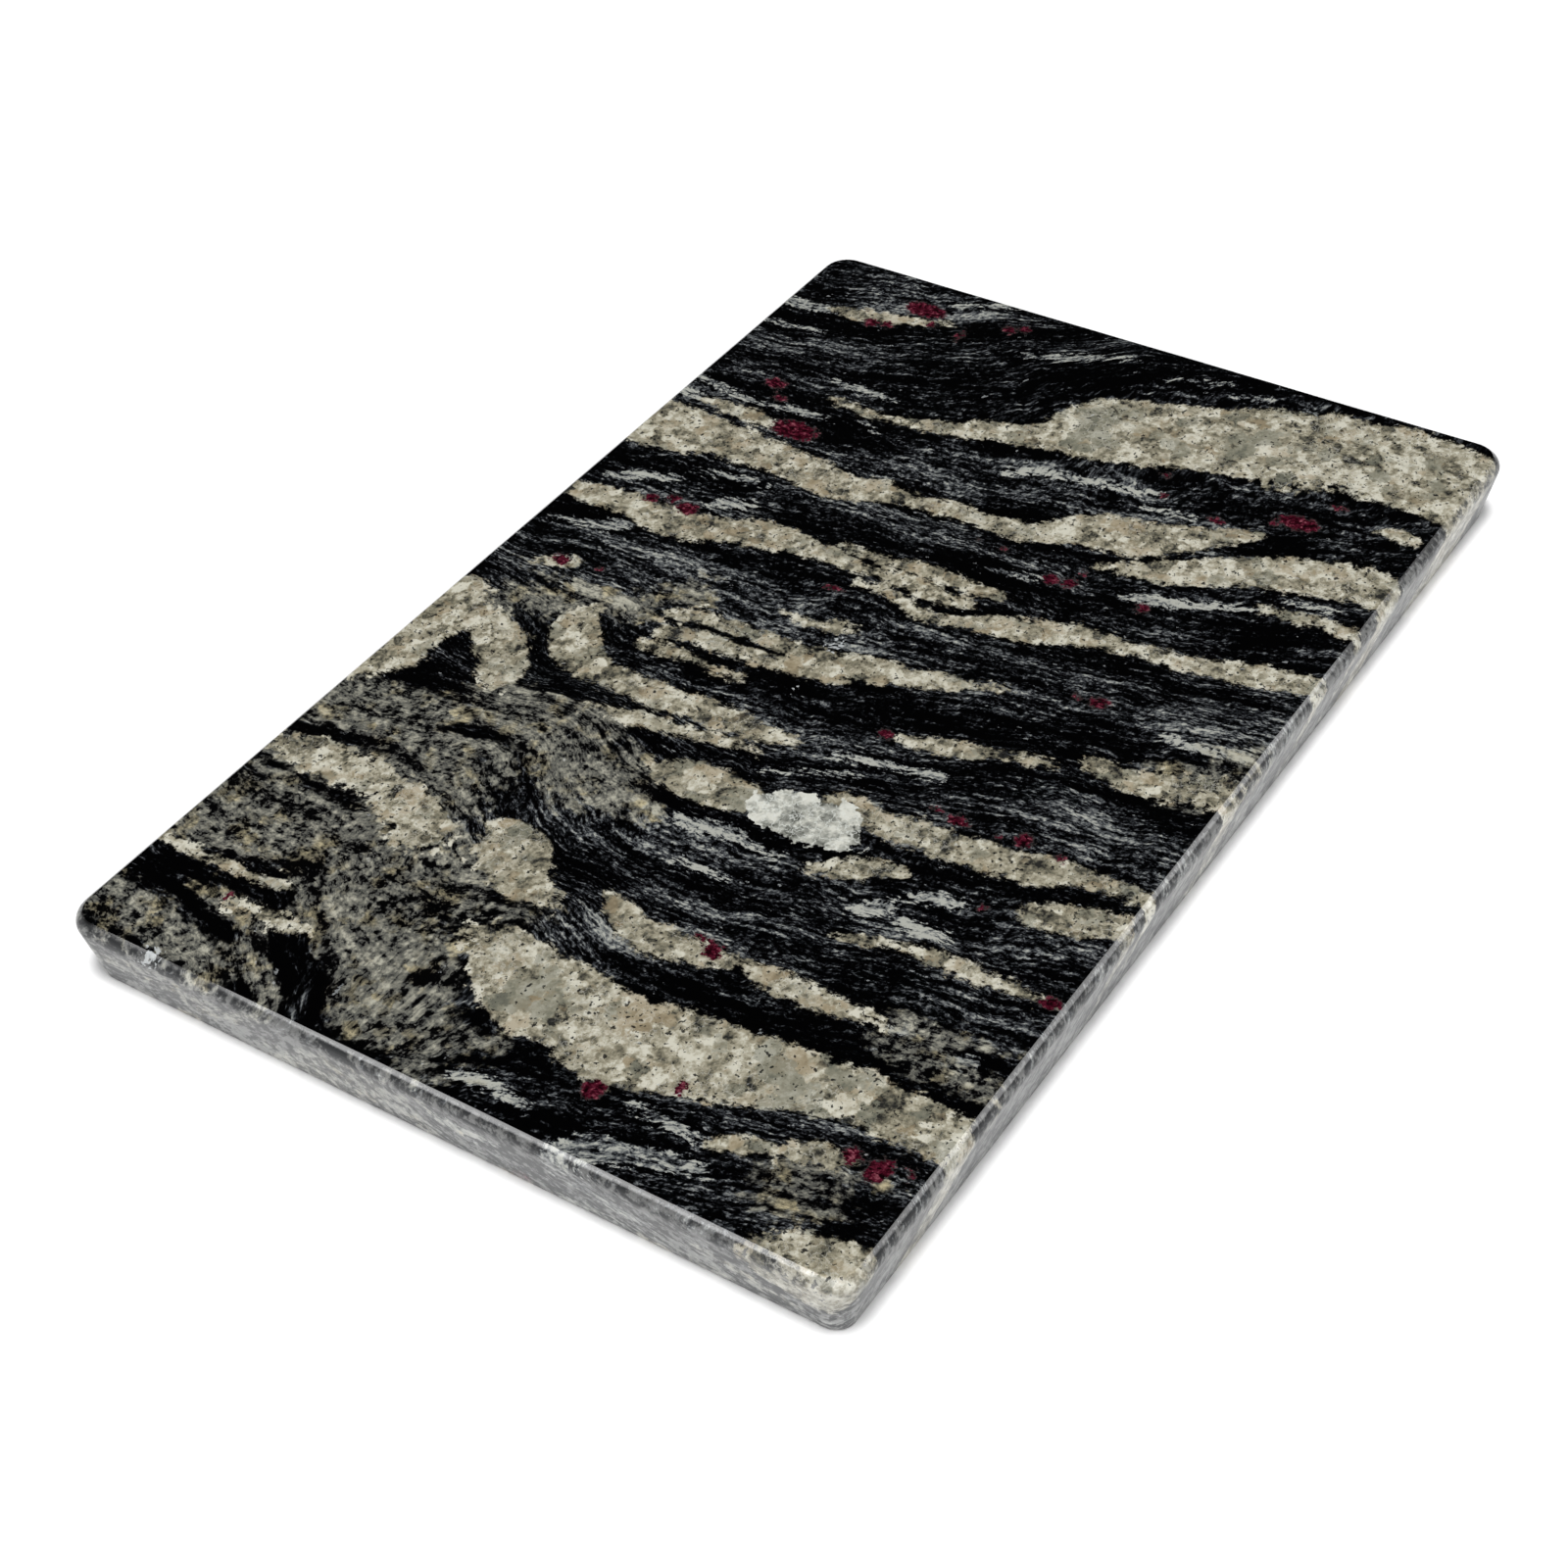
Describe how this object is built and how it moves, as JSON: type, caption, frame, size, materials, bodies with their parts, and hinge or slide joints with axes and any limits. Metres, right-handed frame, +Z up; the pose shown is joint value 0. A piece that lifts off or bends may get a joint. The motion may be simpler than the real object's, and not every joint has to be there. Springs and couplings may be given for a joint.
{
  "type": "granite slab",
  "caption": "Polished stone plate with rounded corners, rubbed edges and inward-leaning sides, laid flat on a bench as a hard, heavy base for stamping and punching leather.",
  "frame": {"origin": "middle of the flat underside, on the surface that the slab rests on", "axes": "+X along the slab's length, +Y across it, +Z up out of the polished working face"},
  "size_m": [0.356, 0.228, 0.021],
  "materials": {
    "stone": "polished"
  },
  "bodies": {
    "root": {"granite_slab": "stone"}
  },
  "joints": []
}
